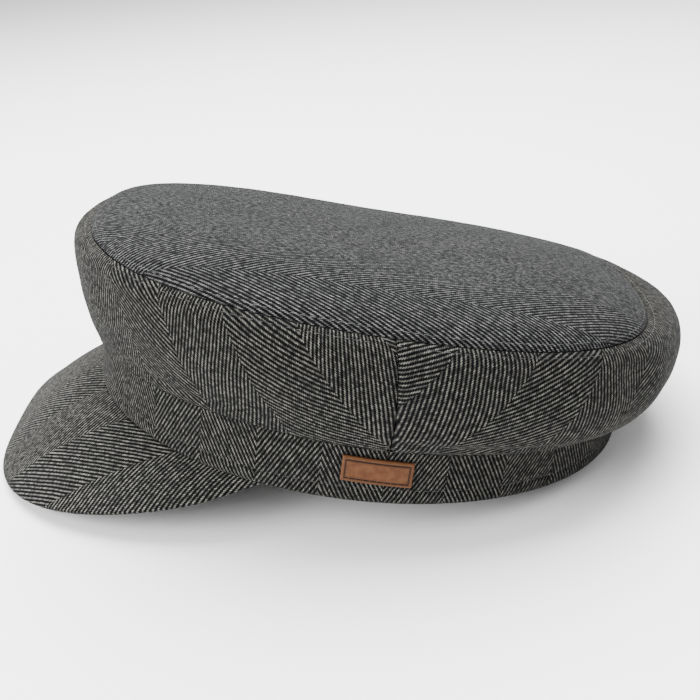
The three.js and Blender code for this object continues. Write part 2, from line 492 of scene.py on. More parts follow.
class Maths:
    """A shader value, so that shader maths is written as Python expressions."""

    def __init__(self, bench: "Bench", socket: bpy.types.NodeSocket) -> None:
        """Holds a socket and the bench that its nodes are made on."""
        self.bench = bench
        self.socket = socket

    def __add__(self, other: "Maths | float") -> "Maths":
        """The sum."""
        return self.bench.maths("ADD", self, other)

    def __sub__(self, other: "Maths | float") -> "Maths":
        """The difference."""
        return self.bench.maths("SUBTRACT", self, other)

    def __rsub__(self, other: "Maths | float") -> "Maths":
        """The difference, with this value taken away."""
        return self.bench.maths("SUBTRACT", other, self)

    def __mul__(self, other: "Maths | float") -> "Maths":
        """The product."""
        return self.bench.maths("MULTIPLY", self, other)

    def __truediv__(self, other: "Maths | float") -> "Maths":
        """The quotient."""
        return self.bench.maths("DIVIDE", self, other)

    __radd__ = __add__
    __rmul__ = __mul__

    def floor(self) -> "Maths":
        """The whole part."""
        return self.bench.maths("FLOOR", self)

    def fraction(self) -> "Maths":
        """What is left over a whole number."""
        return self.bench.maths("FRACT", self)

    def size(self) -> "Maths":
        """The value without its sign."""
        return self.bench.maths("ABSOLUTE", self)

    def sine(self) -> "Maths":
        """The sine of the value in radians."""
        return self.bench.maths("SINE", self)

    def there_and_back(self, length: float) -> "Maths":
        """The value folded to and fro between 0 and a length."""
        return self.bench.maths("PINGPONG", self, length)

    def step(self, start: float, end: float) -> "Maths":
        """A smooth step that leaves 0 at start and reaches 1 at end, also where end is the lower."""
        low, high = min(start, end), max(start, end)
        first, last = (0.0, 1.0) if start < end else (1.0, 0.0)
        ramp = self.bench.node(
            "ShaderNodeMapRange",
            {"interpolation_type": "SMOOTHSTEP"},
            {"Value": self, "From Min": low, "From Max": high, "To Min": first, "To Max": last},
        )
        return Maths(self.bench, ramp.outputs["Result"])


class Bench:
    """Makes and joins the nodes of one material."""

    def __init__(self, name: str) -> None:
        """Starts a material with a shader of its own.

        Args:
            name: Name of the material.
        """
        self.material = bpy.data.materials.new(name)
        self.material.use_nodes = True
        self.tree = self.material.node_tree
        self.tree.nodes.clear()
        output = self.tree.nodes.new("ShaderNodeOutputMaterial")
        self.shader = self.tree.nodes.new("ShaderNodeBsdfPrincipled")
        self.tree.links.new(self.shader.outputs["BSDF"], output.inputs["Surface"])

    def put(self, socket: bpy.types.NodeSocket, value: object) -> None:
        """Sets a socket to a number or colour, or links a value to it."""
        if isinstance(value, Maths):
            value = value.socket
        if isinstance(value, bpy.types.NodeSocket):
            self.tree.links.new(value, socket)
        else:
            socket.default_value = value

    def node(self, kind: str, settings: dict[str, object], inputs: dict[object, object]) -> bpy.types.Node:
        """Adds a node.

        Args:
            kind: Blender's name for its type.
            settings: Its settings, set first.
            inputs: Values or links of its sockets, by name or number.

        Returns:
            The node.
        """
        made = self.tree.nodes.new(kind)
        for name, value in settings.items():
            setattr(made, name, value)
        for key, value in inputs.items():
            self.put(made.inputs[key], value)
        return made

    def maths(self, operation: str, *values: "Maths | float") -> Maths:
        """Adds a Math node and gives its result."""
        made = self.node("ShaderNodeMath", {"operation": operation}, dict(enumerate(values)))
        return Maths(self, made.outputs[0])

    def flat_place(self) -> tuple[Maths, Maths]:
        """The place in the flat cut, in millimetres, as its two distances."""
        place = self.node("ShaderNodeUVMap", {"uv_map": WEAVE_MAP}, {})
        parts = self.node("ShaderNodeSeparateXYZ", {}, {0: place.outputs[0]})
        return Maths(self, parts.outputs[0]), Maths(self, parts.outputs[1])

    def vector(self, x: "Maths | float", y: "Maths | float", z: "Maths | float" = 0.0) -> bpy.types.NodeSocket:
        """Joins three values into a vector."""
        return self.node("ShaderNodeCombineXYZ", {}, {0: x, 1: y, 2: z}).outputs[0]

    def speckle(self, place: bpy.types.NodeSocket, scale: float, detail: float = 1.0) -> Maths:
        """Random values from 0 to 1 over a vector.

        Args:
            place: The vector.
            scale: Spots to each unit of it.
            detail: Finer layers added.

        Returns:
            The values.
        """
        inputs = {"Vector": place, "Scale": scale, "Detail": detail, "Roughness": 0.5}
        made = self.node("ShaderNodeTexNoise", {"noise_dimensions": "3D"}, inputs)
        return Maths(self, made.outputs["Fac"])

    def chance(self, place: bpy.types.NodeSocket) -> Maths:
        """A random value from 0 to 1 for each whole place."""
        made = self.node("ShaderNodeTexWhiteNoise", {"noise_dimensions": "2D"}, {"Vector": place})
        return Maths(self, made.outputs["Value"])

    def between(self, share: Maths, first: object, second: object) -> bpy.types.NodeSocket:
        """A colour part of the way from one to another."""
        made = self.node("ShaderNodeMix", {"data_type": "RGBA"}, {"Factor": share, "A": first, "B": second})
        return made.outputs[2]

def solid(colour: Colour) -> tuple[float, float, float, float]:
    """A colour with its alpha of 1."""
    return (*colour, 1.0)


@dataclass(frozen=True)
class HerringboneWool:
    """Wool woven in herringbone columns, with lengths in millimetres of the flat cut."""

    name: str
    first_column: float
    lean: Lean = Lean.RIGHT
    column: float = 21.24
    rib_angle: float = 28.5
    rib_pitch: float = 1.33
    yarn: float = 0.378
    pick: float = 0.7
    sway: float = 0.5
    # The pale yarn's colour; for the top and the peak it also carries painted light.
    pale_yarn_and_painted_light: Colour = (0.137, 0.133, 0.117)
    dark_yarn: Colour = (0.0006, 0.00065, 0.0008)
    nap_yarn: Colour = (0.02, 0.0205, 0.022)
    nap: float = 0.2
    relief: float = 0.00016
    sheen: float = 0.026

    def make(self) -> bpy.types.Material:
        """Builds the material."""
        bench = Bench(self.name)
        flat_across, flat_along = bench.flat_place()
        flat = bench.vector(flat_across, flat_along)
        across = flat_across + (bench.speckle(flat, 0.11, 2.0) - 0.5) * self.sway
        along = flat_along + (bench.speckle(flat, 0.13, 2.0) - 0.5) * self.sway
        strand = (across - self.first_column) / self.yarn
        middle = (strand.floor() + 0.5) * (self.yarn / self.column)
        lean = middle.there_and_back(1.0) * (self.column * self.lean.value)
        odd = middle.floor() - (middle * 0.5).floor() * 2.0
        sine, cosine = math.sin(math.radians(self.rib_angle)), math.cos(math.radians(self.rib_angle))
        rib = (along * sine - lean * cosine) / self.rib_pitch + odd * 0.5
        fluff = bench.speckle(flat, 2.1, 3.0)
        off_middle = (rib.fraction() - 0.5).size() * 2.0 + (fluff - 0.5) * 0.35
        float_face = off_middle.step(0.52, 0.12)
        own = bench.chance(bench.vector(strand.floor(), rib.floor()))
        slub = bench.speckle(bench.vector(strand.floor() * 3.7, along * 0.12), 1.0, 2.0)
        round_yarn = 1.0 - (strand.fraction() - 0.5).size() * 0.6
        patches = bench.speckle(flat, 0.07, 3.0).step(0.38, 0.68)
        blotch = bench.speckle(flat, 0.5, 3.0).step(0.32, 0.68)
        uneven = (blotch * 1.0 + 0.5) * (slub * 0.7 + 0.6 - patches * 0.12)
        bright = float_face * (own * 0.75 + 0.32) * uneven * round_yarn
        haze = (fluff.step(0.35, 0.8) * 0.6 + 0.1 + patches * 0.3 + blotch * 0.5) * self.nap
        woven = bench.between(bright, solid(self.dark_yarn), solid(self.pale_yarn_and_painted_light))
        colour = bench.between(haze, woven, solid(self.nap_yarn))
        weft = (along / self.pick).fraction() - 0.5
        ridges = float_face * round_yarn + (1.0 - float_face) * (0.6 - weft.size()) + fluff * 0.5
        bump = bench.node("ShaderNodeBump", {}, {"Strength": 0.8, "Distance": self.relief, "Height": ridges})
        bench.put(bench.shader.inputs["Base Color"], colour)
        bench.put(bench.shader.inputs["Normal"], bump.outputs[0])
        bench.put(bench.shader.inputs["Roughness"], 0.93)
        bench.put(bench.shader.inputs["Specular IOR Level"], 0.02)
        bench.put(bench.shader.inputs["Sheen Weight"], self.sheen)
        bench.put(bench.shader.inputs["Sheen Roughness"], 0.4)
        bench.put(bench.shader.inputs["Sheen Tint"], solid((0.75, 0.78, 0.86)))
        return bench.material


@dataclass(frozen=True)
class SewingThread:
    """Dark polyester thread."""

    name: str = "dark_thread"
    colour: Colour = (0.014, 0.014, 0.015)

    def make(self) -> bpy.types.Material:
        """Builds the material."""
        bench = Bench(self.name)
        place = bench.node("ShaderNodeTexCoord", {}, {}).outputs["Object"]
        twist = bench.speckle(place, 2600.0, 2.0)
        colour = bench.between(twist, solid(self.colour), solid(tuple(value * 3 for value in self.colour)))
        bench.put(bench.shader.inputs["Base Color"], colour)
        bench.put(bench.shader.inputs["Roughness"], 0.6)
        return bench.material


@dataclass(frozen=True)
class BurntLeather:
    """Tan leather with a burnt frame, whose lengths are millimetres of the label."""

    name: str = "tan_leather"
    tan: Colour = (0.062, 0.0215, 0.0074)
    pale: Colour = (0.09, 0.0375, 0.0145)
    burnt: Colour = (0.008, 0.0022, 0.0008)
    rope_dash: float = 1.05
    hem_dash: float = 2.3

    def make(self, label: "SideLabel") -> bpy.types.Material:
        """Builds the material.

        Args:
            label: The label whose frame it darkens.

        Returns:
            The material.
        """
        bench = Bench(self.name)
        across, along = bench.flat_place()
        place = bench.vector(across, along)
        cloud = bench.speckle(place, 0.35, 3.0)
        grain = bench.speckle(place, 3.4, 3.0)
        side = across.size() - (label.length / 2 - label.frame_inset)
        end = along.size() - (label.height / 2 - label.frame_inset)
        reach = bench.maths("MAXIMUM", side, end)
        wide = label.frame_line
        ropes = ((along + across * 0.7) / self.rope_dash).fraction().step(0.12, 0.34)
        dashes = (across / self.hem_dash).fraction().step(0.06, 0.16)
        low_end = along.step(0.0, -0.1)
        on_side = (side - end).step(-0.05, 0.05)
        broken = on_side * ropes + (1.0 - on_side) * (1.0 - low_end * (1.0 - dashes))
        line = (reach.size() + (grain - 0.5) * 0.14).step(wide * 0.7, wide * 0.3) * (broken * 0.8 + 0.2)
        scorch = reach.size().step(wide * 2.0, 0.0) * 0.3
        border = reach.step(-0.1, 0.5)
        leather = bench.between(cloud.step(0.3, 0.7), solid(self.tan), solid(self.pale))
        edged = bench.between(border * 0.65, leather, solid(self.pale))
        colour = bench.between(bench.maths("MAXIMUM", line, scorch), edged, solid(self.burnt))
        bump = bench.node("ShaderNodeBump", {}, {"Strength": 0.5, "Distance": 0.0001, "Height": grain})
        bench.put(bench.shader.inputs["Base Color"], colour)
        bench.put(bench.shader.inputs["Normal"], bump.outputs[0])
        bench.put(bench.shader.inputs["Roughness"], 0.58)
        bench.put(bench.shader.inputs["Specular IOR Level"], 0.12)
        return bench.material


@dataclass(frozen=True)
class Stitching:
    """A run of machine stitches, in millimetres."""

    length: float = 2.2
    spacing: float = 2.9
    thickness: float = 0.3
    sunk: float = 0.1

    def sew(self, bm: bmesh.types.BMesh, line: Sequence[Vector], outward: Sequence[Vector]) -> None:
        """Adds stitches along a line.

        Args:
            bm: Mesh that takes the stitches.
            line: Points of the seam line, close together.
            outward: Direction out of the cloth at each of them.
        """
        path = np.array([list(point) for point in line])
        normals = np.array([list(direction) for direction in outward])
        run = lengths_along(path)
        count = int(run[-1] / self.spacing)
        for step in range(count):
            middle = (step + 0.5) * run[-1] / count
            at = [Vector([np.interp(middle + shift, run, path[:, axis]) for axis in range(3)]) for shift in (-0.6, 0, 0.6)]
            out = Vector([np.interp(middle, run, normals[:, axis]) for axis in range(3)]).normalized()
            along = (at[2] - at[0]).normalized()
            side = along.cross(out).normalized()
            turned = Matrix((along, side, out)).transposed().to_4x4()
            half = Matrix.Diagonal((self.length / 2, self.thickness / 2, self.thickness / 2, 1))
            place = Matrix.Translation(at[1] - out * self.sunk) @ turned @ half
            bmesh.ops.create_icosphere(bm, subdivisions=2, radius=1, matrix=place)


@dataclass
class CrownTop:
    """The domed oval that closes the crown, and the stitching along its seam."""

    form: CapForm
    stand: Matrix
    columns: int = 300
    lip: float = 1.0
    lip_width: float = 1.2
    stitch_line: float = 2.2
    stitch_pinch: float = 0.22
    roll: float = 0.4
    roll_place: float = 6.0
    slow_waves: float = 0.7
    quick_waves: float = 0.16
    near_seam: tuple[float, ...] = (0, 0.35, 0.7, 1.05, 1.4, 1.8, 2.2, 2.6, 3.1, 3.8, 4.8, 6.0)

    def relief(self, turn: float, reach: float, from_seam: float) -> float:
        """Height of the cloth over the smooth form."""
        smooth = self.form.top_point(turn, reach)
        loose = fade(from_seam, 0.5, 12.0)
        height = self.slow_waves * waves(smooth, 42.0, 3.0) + self.quick_waves * waves(smooth, 11.0, 8.0)
        pinch = self.stitch_pinch * bell(from_seam - self.stitch_line, 0.5)
        return height * loose + self.roll * bell(from_seam - self.roll_place, 3.0) - pinch

    def place(self, turn: float, reach: float, from_seam: float) -> Vector:
        """A point of the outer face, with its rounded lip at the seam."""
        form = self.form
        clear = form.seam_gap / 2 * (1 - fade(from_seam, 0, 3))
        inward = -form.band_outward(turn)
        corner = (inward - Vector((0, 0, 1))).normalized()
        point = form.top_point(turn, reach, self.relief(turn, reach, from_seam))
        return point + (inward + Vector((0, 0, 1))) * clear + corner * self.lip * bell(from_seam, self.lip_width)

    def column_of(self, turn: float) -> tuple[list[Vector], list[Flat]]:
        """The points and flat-cut places from the top's middle out to the seam and back inside.

        Args:
            turn: Direction round the cap.

        Returns:
            The two lists.
        """
        form = self.form
        across, along = form.top_flat(turn, 1)
        half = math.hypot(across, along)
        outward = Vector((across, along)) / half
        stations = [share * self.largest for share in self.shares]
        points, flats = [], []
        for station in reversed(stations):
            from_seam = station if station <= self.near_seam[-1] else (
                self.near_seam[-1]
                + (station - self.near_seam[-1]) * (half - self.near_seam[-1]) / (self.largest - self.near_seam[-1])
            )
            reach = max(0.0, 1 - from_seam / half)
            points.append(self.place(turn, reach, from_seam))
        for distance in lengths_along(np.array([list(point) for point in points])):
            flats.append(tuple(outward * float(distance)))
        inner_edge = form.seam_gap / 2 + form.cloth_wall
        for reach in (1, 0.9, 0.75, 0.5, 0.25, 0):
            inset = inner_edge * fade(reach, 0.9, 1)
            low = form.top_point(turn, reach, -form.cloth_wall)
            points.append(low - form.band_outward(turn) * inset)
            flats.append(form.top_flat(turn, reach))
        return points, flats

    def build(self, cloth: bpy.types.Material) -> None:
        """Builds and dresses the panel.

        Args:
            cloth: Its material.
        """
        self.largest = max(math.hypot(*self.form.top_flat(turn, 1)) for turn in range(0, 360, 5))
        stations = spaced(self.near_seam, self.largest, 2.4, False)
        self.shares = [station / self.largest for station in stations]
        turns = np.linspace(0, 360, self.columns + 1)
        made = [self.column_of(turn) for turn in turns]
        made[-1] = (made[0][0], made[-1][1])
        bm = carried_grid([column[0] for column in made], [column[1] for column in made])
        piece = finish_mesh(bm, "crown_top_cloth", self.stand)
        dress(piece, cloth, Slot.CROWN, "crown_top")

    def stitch(self, bm: bmesh.types.BMesh, thread: Stitching) -> None:
        """Sews the line that runs on the top along its seam."""
        line, outward = [], []
        for turn in np.linspace(0, 360, 721):
            half = math.hypot(*self.form.top_flat(turn, 1))
            line.append(self.place(turn, 1 - self.stitch_line / half, self.stitch_line))
            outward.append(Vector((0, 0, 1)))
        thread.sew(bm, line, outward)


@dataclass(frozen=True)
class SideFold:
    """A soft fold of the crown side: where it lies, how wide it is and how far it rises or sinks."""

    turn: float
    turn_width: float
    up: float
    up_width: float
    slant: float
    rise: float


SIDE_FOLDS = (
    SideFold(30, 26, 6.0, 1.9, 0.0, -0.9),
    SideFold(30, 28, 2.6, 2.2, 0.0, 0.5),
    SideFold(-36, 22, 4.6, 1.9, 0.03, -0.55),
    SideFold(47, 4.5, 34, 14, 0.0, -1.1),
    SideFold(56, 5.0, 30, 12, 0.0, 0.6),
    SideFold(-60, 6.0, 30, 14, 0.0, 0.8),
    SideFold(-50, 4.0, 26, 12, 0.0, -0.5),
    SideFold(-27, 8.0, 20, 8, 0.0, 0.5),
    SideFold(12, 7.0, 24, 8, 0.0, 0.45),
    SideFold(100, 24, 12, 4, 0.05, -1.2),
    SideFold(150, 22, 16, 5, -0.05, -1.1),
    SideFold(205, 26, 9, 3, 0.04, -0.9),
    SideFold(262, 18, 14, 5, 0.0, -0.8),
    SideFold(250, 16, 24, 6, 0.0, -2.4),
    SideFold(236, 10, 22, 9, 0.0, -0.7),
    SideFold(-18, 10, 9, 4, 0.12, -0.5),
)


@dataclass
class CrownSide:
    """One half of the crown's side, between its two side seams."""

    form: CapForm
    stand: Matrix
    name: str
    node: str
    middle_turn: float
    cut_turn: float = 37.9
    cut_power: float = 1.73
    cut_core: float = 0.25
    weft_turn: float = 0.42
    weft_ramp: float = 50.0
    turn_step: float = 1.6
    rise_step: float = 1.5
    lip: float = 1.0
    lip_width: float = 1.2
    side_lip: float = 0.7
    side_lip_width: float = 0.6
    stitch_line: float = 2.2
    stitch_pinch: float = 0.22
    roll: float = 0.4
    roll_place: float = 6.0
    slow_waves: float = 0.9
    quick_waves: float = 0.22
    inner_rows: int = 14
    near_seam: tuple[float, ...] = (0, 0.35, 0.7, 1.05, 1.4, 1.8, 2.2, 2.6, 3.1, 3.8, 4.8, 6.0)
    near_side_seam: tuple[float, ...] = (0, 0.25, 0.5, 0.8, 1.2, 1.7, 2.4)

    def lay_flat(self) -> np.ndarray:
        """The top seam of the flat cut: rows of turn, place across and along, and heading.

        The cut turns more and more from the half's middle to its side seams, and there its weft is
        pulled askew of its warp.
        """
        turns = np.linspace(self.middle_turn - 100, self.middle_turn + 100, 401)
        run = lengths_along(np.array([list(self.form.top_point(turn, 1)) for turn in turns]))
        run -= np.interp(self.middle_turn, turns, run)
        side = np.interp(self.middle_turn + 90, turns, run)
        share = np.abs(run) / side
        core = np.minimum(share / self.cut_core, 1)
        heading = np.radians(self.cut_turn) * np.sign(run) * np.maximum(share, self.cut_core) ** self.cut_power * core
        askew = self.weft_turn * np.clip(run / self.weft_ramp, -1, 1)
        middle = (heading[1:] + heading[:-1]) / 2
        across = np.r_[0, np.cumsum(np.cos(middle) * np.diff(run))]
        along = np.r_[0, np.cumsum(-(np.sin(middle) + (askew[1:] + askew[:-1]) / 2) * np.diff(run))]
        across -= np.interp(self.middle_turn, turns, across)
        along -= np.interp(self.middle_turn, turns, along)
        return np.c_[turns, across, along, heading]

    def relief(self, turn: float, from_seam: float, from_edge: float, to_side: float, place: Vector) -> float:
        """Height of the cloth over the smooth form.

        Args:
            turn: Direction round the cap.
            from_seam: Distance down from the top seam.
            from_edge: Distance up from the hanging edge.
            to_side: Distance to the nearer side seam.
            place: The point on the smooth form.

        Returns:
            The height, in millimetres.
        """
        loose = fade(from_seam, 0.5, 12.0)
        height = self.slow_waves * waves(place, 34.0, 5.0) + self.quick_waves * waves(place, 10.0, 2.0)
        for fold in SIDE_FOLDS:
            away = (turn - fold.turn + 180) % 360 - 180
            middle = fold.up + fold.slant * away
            height += fold.rise * bell(away, fold.turn_width) * bell(from_edge - middle, fold.up_width)
        pinch = self.stitch_pinch * bell(from_seam - self.stitch_line, 0.5)
        rolled = self.roll * bell(from_seam - self.roll_place, 3.0)
        side = self.side_lip * bell(to_side, self.side_lip_width) - 0.35 * bell(to_side - 3.0, 1.6)
        return height * loose * fade(from_edge, 0, 3) + rolled - pinch - side

    def section(self, turn: float, to_side: float, seam_cut: np.ndarray) -> tuple[list[Vector], list[Flat]]:
        """The closed section of the wall at one turn: down its outside and up its inside.

        Args:
            turn: Direction round the cap.
            to_side: Distance to the nearer side seam.
            seam_cut: The top seam of the flat cut.

        Returns:
            Its points and their flat-cut places.
        """
        form = self.form
        curve = form.side_curve(turn)
        run = lengths_along(curve)
        total = run[-1]
        stations = [value if value <= self.near_seam[-1] else None for value in self.near_seam]
        stations += list(np.linspace(self.near_seam[-1], total, self.outer_rows + 1)[1:])
        seam = form.top_point(turn, 1)
        drift = seam - form.band_point(turn, curve[0][0] - form.seam_gap / 2, seam.z)
        drift.z = 0

        def at(distance: float) -> tuple[float, float]:
            return tuple(np.interp(distance, run, curve[:, axis]) for axis in range(2))

        def across(distance: float) -> Vector:
            ahead, behind = at(min(total, distance + 0.3)), at(max(0.0, distance - 0.3))
            return Vector((behind[1] - ahead[1], ahead[0] - behind[0])).normalized()

        def carry(outset: float, height: float, distance: float) -> Vector:
            return form.band_point(turn, outset, height) + drift * (1 - distance / total) ** 2

        across_cut, along_cut, heading = (
            float(np.interp(turn, seam_cut[:, 0], seam_cut[:, column])) for column in (1, 2, 3)
        )

        def cut(distance: float) -> Flat:
            return across_cut - distance * math.sin(heading), along_cut - distance * math.cos(heading)

        points, flats = [], []
        for distance in stations:
            outset, height = at(distance)
            smooth = carry(outset, height, distance)
            out = across(distance)
            raised = self.relief(turn, distance, total - distance, to_side, smooth)
            lip = self.lip * bell(distance, self.lip_width) * math.sqrt(0.5)
            points.append(carry(outset + out.x * raised - lip, height + out.y * raised - lip, distance))
            flats.append(cut(distance))
        outset, height = at(total)
        radius = form.cloth_wall / 2
        for angle in (150, 110, 70, 30):
            swing = math.radians(angle)
            side = outset - radius - radius * math.cos(swing)
            points.append(carry(outset - (side - (outset - 2 * radius)), height - radius * math.sin(swing) * 0.8, total))
            flats.append(cut(total + (180 - angle) / 60))
        inner = np.linspace(total, 0, self.inner_rows)
        for distance in inner:
            outset, height = at(distance)
            out = across(distance) * form.cloth_wall
            if distance == total:
                spot = (form.seam_gap, height)
            elif distance == 0:
                spot = (outset - form.cloth_wall, height - form.cloth_wall)
            else:
                spot = (outset - out.x, height - out.y)
            points.append(carry(spot[0], spot[1], distance))
            flats.append(cut(distance))
        points.append(points[0])
        flats.append(cut(-3.0))
        return points, flats

    def build(self, cloth: bpy.types.Material) -> None:
        """Builds and dresses the half.

        Args:
            cloth: Its material.
        """
        form = self.form
        self.outer_rows = round(50 / self.rise_step)
        first = self.middle_turn - 90
        sign = 1 if self.middle_turn > 0 else -1
        gap = math.degrees(form.seam_gap / form.band_width)
        start = first + sign * form.side_seam_turn + gap
        end = first + 180 - sign * form.side_seam_turn - gap
        per_degree = math.radians(form.band_length / 2)
        stations = spaced(self.near_side_seam, (end - start) * per_degree, self.turn_step, True)
        seam_cut = self.lay_flat()
        points, flats = [], []
        for station in stations:
            turn = start + station / per_degree
            to_side = min(station, stations[-1] - station)
            column, flat = self.section(turn, to_side, seam_cut)
            points.append(column)
            flats.append(flat)
        piece = finish_mesh(carried_grid(points, flats), self.name, self.stand)
        dress(piece, cloth, Slot.CROWN, self.node)

    def stitch(self, bm: bmesh.types.BMesh, thread: Stitching) -> None:
        """Sews the line that runs on this half along the top seam."""
        form = self.form
        line, outward = [], []
        for turn in np.linspace(self.middle_turn - 88, self.middle_turn + 88, 361):
            points, _ = self.section(turn, 50.0, self.lay_flat())
            line.append(points[self.near_seam.index(self.stitch_line)])
            outward.append(form.band_outward(turn))
        thread.sew(bm, line, outward)


@dataclass
class HeadBand:
    """The upright strip of cloth round the head, with a stitched hem."""

    form: CapForm
    stand: Matrix
    columns: int = 380
    hem_line: float = 5.5
    hem_pinch: float = 0.3
    hem_swell: float = 0.25
    slow_waves: float = 0.35
    rows: tuple[float, ...] = (1.3, 2, 2.8, 3.6, 4.2, 4.6, 4.9, 5.2, 5.5, 5.8, 6.1, 6.4, 6.9, 7.6)

    def outer(self, turn: float, height: float) -> Vector:
        """A point of the outer face."""
        smooth = self.form.band_point(turn, 0, height)
        pinch = self.hem_pinch * bell(height - self.hem_line, 0.55)
        swell = self.hem_swell * bell(height - self.hem_line / 2, 1.8)
        loose = fade(height, 0, 8) * self.slow_waves * waves(smooth, 30.0, 6.0)
        return self.form.band_point(turn, min(swell - pinch + loose, 0.25), height)

    def section(self, turn: float) -> list[Vector]:
        """The closed section of the wall at a turn: up its outside and down its inside."""
        form = self.form
        radius = form.band_wall / 2
        heights = [*self.rows, *np.linspace(self.rows[-1], form.band_height - radius, 18)[1:]]
        ring = [self.outer(turn, height) for height in heights]
        for angle in (30, 60, 90, 120, 150):
            swing = math.radians(angle)
            outset = radius * math.cos(swing) - radius
            ring.append(form.band_point(turn, outset, form.band_height - radius + radius * math.sin(swing)))
        for height in np.linspace(form.band_height - radius, radius, 9):
            ring.append(form.band_point(turn, -form.band_wall, height))
        for angle in (150, 120, 90, 60, 30):
            swing = math.radians(angle)
            outset = radius * math.cos(swing) - radius
            ring.append(form.band_point(turn, outset, radius - radius * math.sin(swing)))
        for corner in ring:
            corner.z = max(corner.z, form.rest_height(corner.y))
        return ring

    def build(self, cloth: bpy.types.Material) -> None:
        """Builds and dresses the band.

        Args:
            cloth: Its material.
        """
        turns = np.linspace(-270, 90, self.columns + 1)
        sections = [self.section(turn) for turn in turns]
        run = lengths_along(np.array([list(self.form.band_point(turn, 0, 0)) for turn in turns]))
        run -= np.interp(0, turns, run)
        points, flats = [], []
        for section, along in zip(sections, run):
            closed = [*section, section[0]]
            up = lengths_along(np.array([list(point) for point in closed])) + self.rows[0]
            points.append(closed)
            flats.append([(float(along), float(height)) for height in up])
        points[-1] = points[0]
        piece = finish_mesh(carried_grid(points, flats), "band_cloth", self.stand)
        dress(piece, cloth, Slot.BAND, "band")

    def stitch(self, bm: bmesh.types.BMesh, thread: Stitching) -> None:
        """Sews the hem."""
        turns = np.linspace(0, 360, 721)
        line = [self.outer(turn, self.hem_line) for turn in turns]
        thread.sew(bm, line, [self.form.band_outward(turn) for turn in turns])


